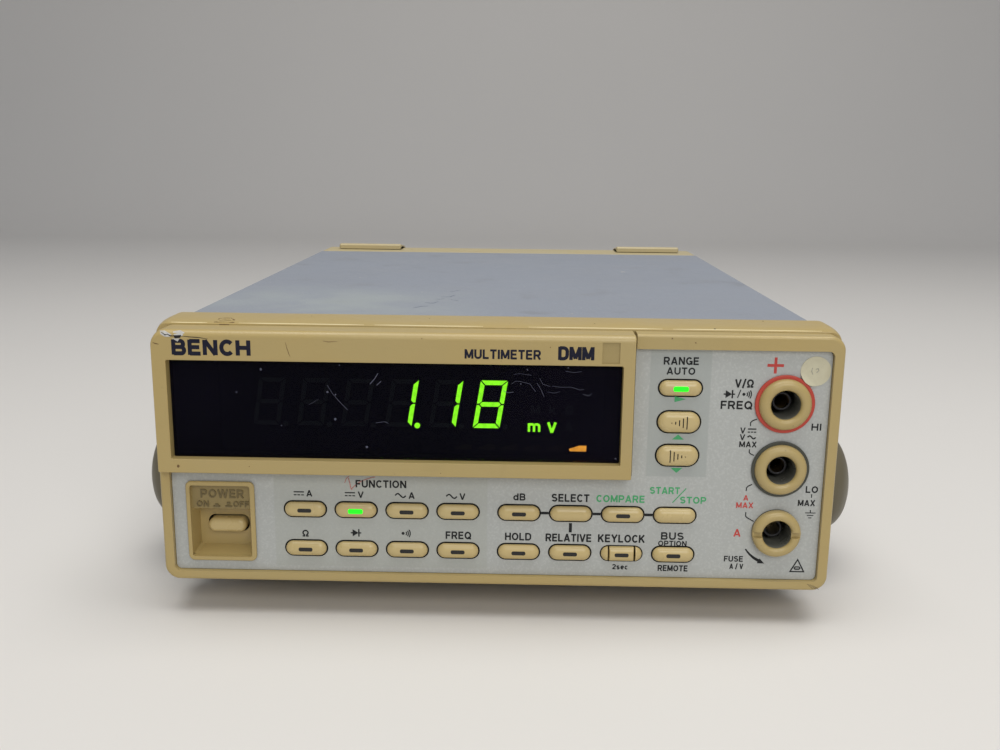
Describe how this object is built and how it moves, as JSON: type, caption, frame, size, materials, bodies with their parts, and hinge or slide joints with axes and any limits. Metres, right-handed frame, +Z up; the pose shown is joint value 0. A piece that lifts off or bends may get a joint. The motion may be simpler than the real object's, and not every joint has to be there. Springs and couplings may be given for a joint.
{
  "type": "bench multimeter",
  "caption": "Half-rack bench multimeter with a display window, lit push keys, shrouded test sockets and a carry handle that swings right round the case.",
  "frame": {"origin": "middle of the plan, on the surface that the four base feet stand on", "axes": "+X to the operator's right, -Y out of the front panel towards the operator, +Z up"},
  "size_m": [0.232, 0.266, 0.0899],
  "materials": {
    "tan_plastic": "fine spark-eroded texture, tan",
    "key_plastic": "satin, a lighter tan",
    "panel_paint": "satin light grey with printed legends",
    "cover_paint": "fine texture, blue grey",
    "window": "smoked acrylic",
    "handle_plastic": "satin taupe",
    "black_plastic": "matt black",
    "red_plastic": "red",
    "dark_plastic": "dark olive grey",
    "contact_brass": "plated, dull",
    "display_glass": "dark glass of the display tube",
    "circuit_board": "green solder mask",
    "foot_rubber": "dark grey rubber",
    "transformer_iron": "varnished laminations",
    "legend_ink": "printed charcoal legends",
    "legend_green": "printed green legends",
    "legend_red": "printed red legends",
    "segments_green": "lit display segments",
    "segments_orange": "lit display bar",
    "led_green": "lit key lamp",
    "led_off": "unlit key lamp",
    "label_cream": "round paper sticker",
    "screw_steel": "plated screws"
  },
  "bodies": {
    "case": {"base_foot_front_left": "foot_rubber", "base_foot_front_right": "foot_rubber", "base_foot_rear_left": "foot_rubber", "base_foot_rear_right": "foot_rubber", "bottom_cover": "cover_paint", "colour_ring_hi": "red_plastic", "colour_ring_lo": "dark_plastic", "contact_hi": "contact_brass", "contact_lo": "contact_brass", "control_panel": "panel_paint", "display_bezel": "tan_plastic", "display_tube": "display_glass", "display_window": "window", "front_frame": "tan_plastic", "fuse_holder": "black_plastic", "key_board": "circuit_board", "lock_key_guard": "tan_plastic", "main_board": "circuit_board", "mains_inlet": "black_plastic", "mains_switch": "black_plastic", "panel_surround": "tan_plastic", "pivot_boss_left": "handle_plastic", "pivot_boss_right": "handle_plastic", "power_escutcheon": "tan_plastic", "rear_foot_lower_left": "tan_plastic", "rear_foot_lower_right": "tan_plastic", "rear_foot_upper_left": "tan_plastic", "rear_foot_upper_right": "tan_plastic", "rear_frame": "tan_plastic", "rear_panel": "cover_paint", "socket_hi": "tan_plastic", "socket_lo": "tan_plastic", "top_cover": "cover_paint", "transformer": "transformer_iron"},
    "handle": {"handle_grip": "handle_plastic", "handle_arm_left": "handle_plastic", "handle_arm_right": "handle_plastic"},
    "power_button": {"power_button": "key_plastic"},
    "range_fuse": {"range_fuse": "contact_brass"},
    "fuse_cap": {"fuse_cap": "tan_plastic"},
    "mains_fuse_drawer": {"mains_fuse_drawer": "black_plastic"},
    "key_dc_current": {"key_dc_current": "key_plastic"},
    "key_dc_volts": {"key_dc_volts": "key_plastic"},
    "key_ac_current": {"key_ac_current": "key_plastic"},
    "key_ac_volts": {"key_ac_volts": "key_plastic"},
    "key_decibel": {"key_decibel": "key_plastic"},
    "key_select": {"key_select": "key_plastic"},
    "key_compare": {"key_compare": "key_plastic"},
    "key_start_stop": {"key_start_stop": "key_plastic"},
    "key_ohms": {"key_ohms": "key_plastic"},
    "key_diode": {"key_diode": "key_plastic"},
    "key_continuity": {"key_continuity": "key_plastic"},
    "key_frequency": {"key_frequency": "key_plastic"},
    "key_hold": {"key_hold": "key_plastic"},
    "key_relative": {"key_relative": "key_plastic"},
    "key_lock": {"key_lock": "key_plastic"},
    "key_remote": {"key_remote": "key_plastic"},
    "key_auto_range": {"key_auto_range": "key_plastic"},
    "key_range_up": {"key_range_up": "key_plastic"},
    "key_range_down": {"key_range_down": "key_plastic"}
  },
  "joints": [
    {"name": "handle_turn", "type": "hinge", "parent": "case", "child": "handle", "pos_m": [0, -0.08, 0.0295], "axis": [1, 0, 0], "range_deg": [-312, 0]},
    {"name": "power_button_press", "type": "slide", "parent": "case", "child": "power_button", "axis": [0, -1, 0], "range_m": [-0.001, 0.0045]},
    {"name": "range_fuse_draw", "type": "slide", "parent": "case", "child": "range_fuse", "axis": [0, -1, 0], "range_m": [0, 0.05]},
    {"name": "fuse_cap_turn", "type": "hinge", "parent": "range_fuse", "child": "fuse_cap", "pos_m": [0.08165, -0.129, 0.02865], "axis": [0, -1, 0], "range_deg": [0, 60]},
    {"name": "mains_fuse_drawer_draw", "type": "slide", "parent": "case", "child": "mains_fuse_drawer", "axis": [0, 1, 0], "range_m": [0, 0.018]},
    {"name": "key_dc_current_press", "type": "slide", "parent": "case", "child": "key_dc_current", "axis": [0, 1, 0], "range_m": [0, 0.0009], "stiffness_N_per_m": 800, "springref_m": -0.0005},
    {"name": "key_dc_volts_press", "type": "slide", "parent": "case", "child": "key_dc_volts", "axis": [0, 1, 0], "range_m": [0, 0.0009], "stiffness_N_per_m": 800, "springref_m": -0.0005},
    {"name": "key_ac_current_press", "type": "slide", "parent": "case", "child": "key_ac_current", "axis": [0, 1, 0], "range_m": [0, 0.0009], "stiffness_N_per_m": 800, "springref_m": -0.0005},
    {"name": "key_ac_volts_press", "type": "slide", "parent": "case", "child": "key_ac_volts", "axis": [0, 1, 0], "range_m": [0, 0.0009], "stiffness_N_per_m": 800, "springref_m": -0.0005},
    {"name": "key_decibel_press", "type": "slide", "parent": "case", "child": "key_decibel", "axis": [0, 1, 0], "range_m": [0, 0.0009], "stiffness_N_per_m": 800, "springref_m": -0.0005},
    {"name": "key_select_press", "type": "slide", "parent": "case", "child": "key_select", "axis": [0, 1, 0], "range_m": [0, 0.0009], "stiffness_N_per_m": 800, "springref_m": -0.0005},
    {"name": "key_compare_press", "type": "slide", "parent": "case", "child": "key_compare", "axis": [0, 1, 0], "range_m": [0, 0.0009], "stiffness_N_per_m": 800, "springref_m": -0.0005},
    {"name": "key_start_stop_press", "type": "slide", "parent": "case", "child": "key_start_stop", "axis": [0, 1, 0], "range_m": [0, 0.0009], "stiffness_N_per_m": 800, "springref_m": -0.0005},
    {"name": "key_ohms_press", "type": "slide", "parent": "case", "child": "key_ohms", "axis": [0, 1, 0], "range_m": [0, 0.0009], "stiffness_N_per_m": 800, "springref_m": -0.0005},
    {"name": "key_diode_press", "type": "slide", "parent": "case", "child": "key_diode", "axis": [0, 1, 0], "range_m": [0, 0.0009], "stiffness_N_per_m": 800, "springref_m": -0.0005},
    {"name": "key_continuity_press", "type": "slide", "parent": "case", "child": "key_continuity", "axis": [0, 1, 0], "range_m": [0, 0.0009], "stiffness_N_per_m": 800, "springref_m": -0.0005},
    {"name": "key_frequency_press", "type": "slide", "parent": "case", "child": "key_frequency", "axis": [0, 1, 0], "range_m": [0, 0.0009], "stiffness_N_per_m": 800, "springref_m": -0.0005},
    {"name": "key_hold_press", "type": "slide", "parent": "case", "child": "key_hold", "axis": [0, 1, 0], "range_m": [0, 0.0009], "stiffness_N_per_m": 800, "springref_m": -0.0005},
    {"name": "key_relative_press", "type": "slide", "parent": "case", "child": "key_relative", "axis": [0, 1, 0], "range_m": [0, 0.0009], "stiffness_N_per_m": 800, "springref_m": -0.0005},
    {"name": "key_lock_press", "type": "slide", "parent": "case", "child": "key_lock", "axis": [0, 1, 0], "range_m": [0, 0.0009], "stiffness_N_per_m": 800, "springref_m": -0.0005},
    {"name": "key_remote_press", "type": "slide", "parent": "case", "child": "key_remote", "axis": [0, 1, 0], "range_m": [0, 0.0009], "stiffness_N_per_m": 800, "springref_m": -0.0005},
    {"name": "key_auto_range_press", "type": "slide", "parent": "case", "child": "key_auto_range", "axis": [0, 1, 0], "range_m": [0, 0.0009], "stiffness_N_per_m": 800, "springref_m": -0.0005},
    {"name": "key_range_up_press", "type": "slide", "parent": "case", "child": "key_range_up", "axis": [0, 1, 0], "range_m": [0, 0.0009], "stiffness_N_per_m": 800, "springref_m": -0.0005},
    {"name": "key_range_down_press", "type": "slide", "parent": "case", "child": "key_range_down", "axis": [0, 1, 0], "range_m": [0, 0.0009], "stiffness_N_per_m": 800, "springref_m": -0.0005}
  ]
}
